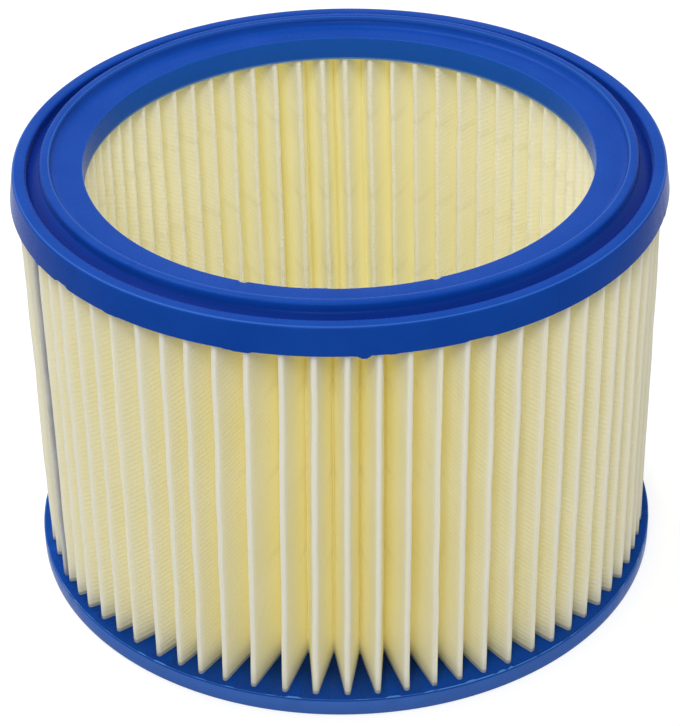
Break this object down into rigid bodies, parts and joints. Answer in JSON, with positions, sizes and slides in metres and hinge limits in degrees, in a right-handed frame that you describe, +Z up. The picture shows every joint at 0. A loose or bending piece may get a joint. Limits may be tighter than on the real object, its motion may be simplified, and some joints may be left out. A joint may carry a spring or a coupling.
{
  "type": "vacuum cleaner filter",
  "caption": "Round pleated cartridge filter of a wet and dry vacuum cleaner: a folded cream sheet potted between blue cast end caps, with an open bore and a sealing ridge on top.",
  "frame": {"origin": "centre of the flat underside of the lower end cap, on the bore axis", "axes": "+Z up along the bore axis, from the lower end cap to the sealing ridge; -Y is the side that the picture shows in front, and the seam lies towards -X"},
  "size_m": [0.1905, 0.1904, 0.133],
  "materials": {
    "cap_rubber": "cast polyurethane, satin blue",
    "filter_sheet": "matt cream filter sheet with fine ribs across the folds",
    "clip_metal": "dull grey sheet metal"
  },
  "bodies": {
    "root": {"upper_end_cap": "cap_rubber", "lower_end_cap": "cap_rubber", "filter_media": "filter_sheet", "seam_clip": "clip_metal"}
  },
  "joints": []
}
